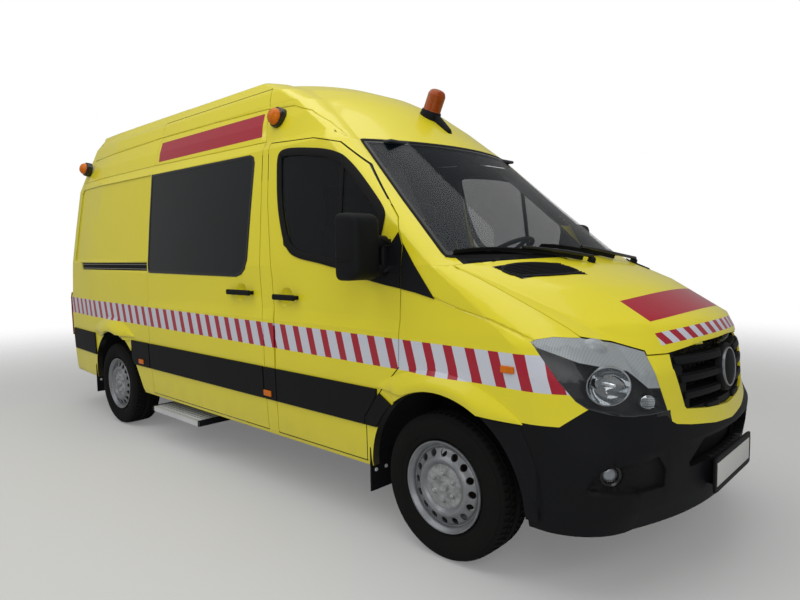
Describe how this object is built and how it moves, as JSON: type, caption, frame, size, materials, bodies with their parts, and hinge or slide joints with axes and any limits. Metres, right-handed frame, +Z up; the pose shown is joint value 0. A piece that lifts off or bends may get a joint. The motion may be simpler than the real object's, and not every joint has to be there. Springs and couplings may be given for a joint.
{
  "type": "ambulance, high-roof panel van",
  "caption": "Yellow high-roof panel van ambulance with a side sliding door, opening cab and rear doors, bonnet, steering and rolling wheels.",
  "frame": {"origin": "on the ground, midway between the front plate and the rear bumper, on the centre line", "axes": "+X forward, +Y to the vehicle's left, +Z up"},
  "size_m": [5.91, 2.425, 2.782],
  "materials": {
    "yellow_paint": "gloss",
    "black_plastic": "matte",
    "dark_glass": "gloss",
    "clear_glass": "gloss",
    "tyre_rubber": "matte",
    "steel_rim": "satin",
    "chassis_black": "satin",
    "lamp_lens": "gloss",
    "amber_lens": "gloss",
    "red_lens": "gloss",
    "bare_aluminium": "satin",
    "grey_plastic": "matte",
    "seat_fabric": "matte",
    "cast_steel": "matte",
    "white_board": "satin",
    "floor_lining": "matte"
  },
  "bodies": {
    "body": {"roof_panel": "yellow_paint", "side_panel_right": "yellow_paint", "side_panel_left": "yellow_paint", "sliding_door": "yellow_paint", "cab_pillars": "yellow_paint", "wings": "yellow_paint", "nose_panel": "yellow_paint", "roof_unit": "yellow_paint", "side_windows": "dark_glass", "windscreen": "clear_glass", "cowl": "black_plastic", "grille": "black_plastic", "front_bumper": "black_plastic", "body_trim": "black_plastic", "arch_liners": "black_plastic", "beacon_base": "black_plastic", "rear_bumper": "black_plastic", "fuel_tank": "black_plastic", "front_lamps": "lamp_lens", "beacon": "amber_lens", "corner_lamps": "amber_lens", "tail_lamps": "red_lens", "number_plates": "white_board", "bulkheads": "white_board", "floor": "floor_lining", "front_suspension": "chassis_black", "rear_axle": "chassis_black", "leaf_springs": "chassis_black", "driveline": "chassis_black", "tow_eye": "chassis_black", "dashboard": "grey_plastic", "seat_bases": "grey_plastic", "seat_cushions": "seat_fabric", "engine": "cast_steel", "exhaust": "cast_steel", "side_step": "bare_aluminium"},
    "front_door_right": {"front_door_right": "yellow_paint", "front_door_glass_right": "clear_glass", "front_door_trim_right": "black_plastic"},
    "rear_door_right": {"rear_door_right": "yellow_paint", "rear_door_glass_right": "dark_glass"},
    "knuckle_right": {"knuckle_right": "cast_steel"},
    "wheel_front_right": {"tyre_front_right": "tyre_rubber", "rim_front_right": "steel_rim"},
    "wheel_rear_right": {"tyre_rear_right": "tyre_rubber", "rim_rear_right": "steel_rim"},
    "front_door_left": {"front_door_left": "yellow_paint", "front_door_glass_left": "clear_glass", "front_door_trim_left": "black_plastic"},
    "rear_door_left": {"rear_door_left": "yellow_paint", "rear_door_glass_left": "dark_glass"},
    "knuckle_left": {"knuckle_left": "cast_steel"},
    "wheel_front_left": {"tyre_front_left": "tyre_rubber", "rim_front_left": "steel_rim"},
    "wheel_rear_left": {"tyre_rear_left": "tyre_rubber", "rim_rear_left": "steel_rim"},
    "bonnet": {"bonnet": "yellow_paint"},
    "steering_wheel": {"steering_wheel": "grey_plastic"}
  },
  "joints": [
    {"name": "front_door_right_hinge", "type": "hinge", "parent": "body", "child": "front_door_right", "pos_m": [1.719, -0.9925, 0.9], "axis": [0, 0, 1], "range_deg": [0, 70]},
    {"name": "rear_door_right_hinge", "type": "hinge", "parent": "body", "child": "rear_door_right", "pos_m": [-2.891, -0.794, 1.5], "axis": [0, 0, 1], "range_deg": [0, 180]},
    {"name": "front_door_left_hinge", "type": "hinge", "parent": "body", "child": "front_door_left", "pos_m": [1.719, 0.9925, 0.9], "axis": [0, 0, -1], "range_deg": [0, 70]},
    {"name": "rear_door_left_hinge", "type": "hinge", "parent": "body", "child": "rear_door_left", "pos_m": [-2.891, 0.794, 1.5], "axis": [0, 0, -1], "range_deg": [0, 180]},
    {"name": "bonnet_hinge", "type": "hinge", "parent": "body", "child": "bonnet", "pos_m": [1.977, 0, 1.412], "axis": [0, -1, 0], "range_deg": [0, 55]},
    {"name": "steer_left", "type": "hinge", "parent": "body", "child": "knuckle_left", "pos_m": [1.951, 0.75, 0.3555], "axis": [0, 0, 1], "range_deg": [-35, 35]},
    {"name": "wheel_front_left_spin", "type": "hinge", "parent": "knuckle_left", "child": "wheel_front_left", "pos_m": [1.951, 0.855, 0.3555], "axis": [0, 1, 0], "continuous": true},
    {"name": "wheel_rear_left_spin", "type": "hinge", "parent": "body", "child": "wheel_rear_left", "pos_m": [-1.714, 0.855, 0.3555], "axis": [0, 1, 0], "continuous": true},
    {"name": "steer_right", "type": "hinge", "parent": "body", "child": "knuckle_right", "pos_m": [1.951, -0.75, 0.3555], "axis": [0, 0, 1], "range_deg": [-35, 35]},
    {"name": "wheel_front_right_spin", "type": "hinge", "parent": "knuckle_right", "child": "wheel_front_right", "pos_m": [1.951, -0.855, 0.3555], "axis": [0, 1, 0], "continuous": true},
    {"name": "wheel_rear_right_spin", "type": "hinge", "parent": "body", "child": "wheel_rear_right", "pos_m": [-1.714, -0.855, 0.3555], "axis": [0, 1, 0], "continuous": true},
    {"name": "steering_wheel_turn", "type": "hinge", "parent": "body", "child": "steering_wheel", "pos_m": [1.431, 0.4, 1.465], "axis": [-0.4695, 0, 0.8829], "range_deg": [-350, 350]}
  ],
  "couplings": [
    {"joint": "steer_right", "follows": "steer_left", "ratio": 1},
    {"joint": "steering_wheel_turn", "follows": "steer_left", "ratio": 10}
  ]
}
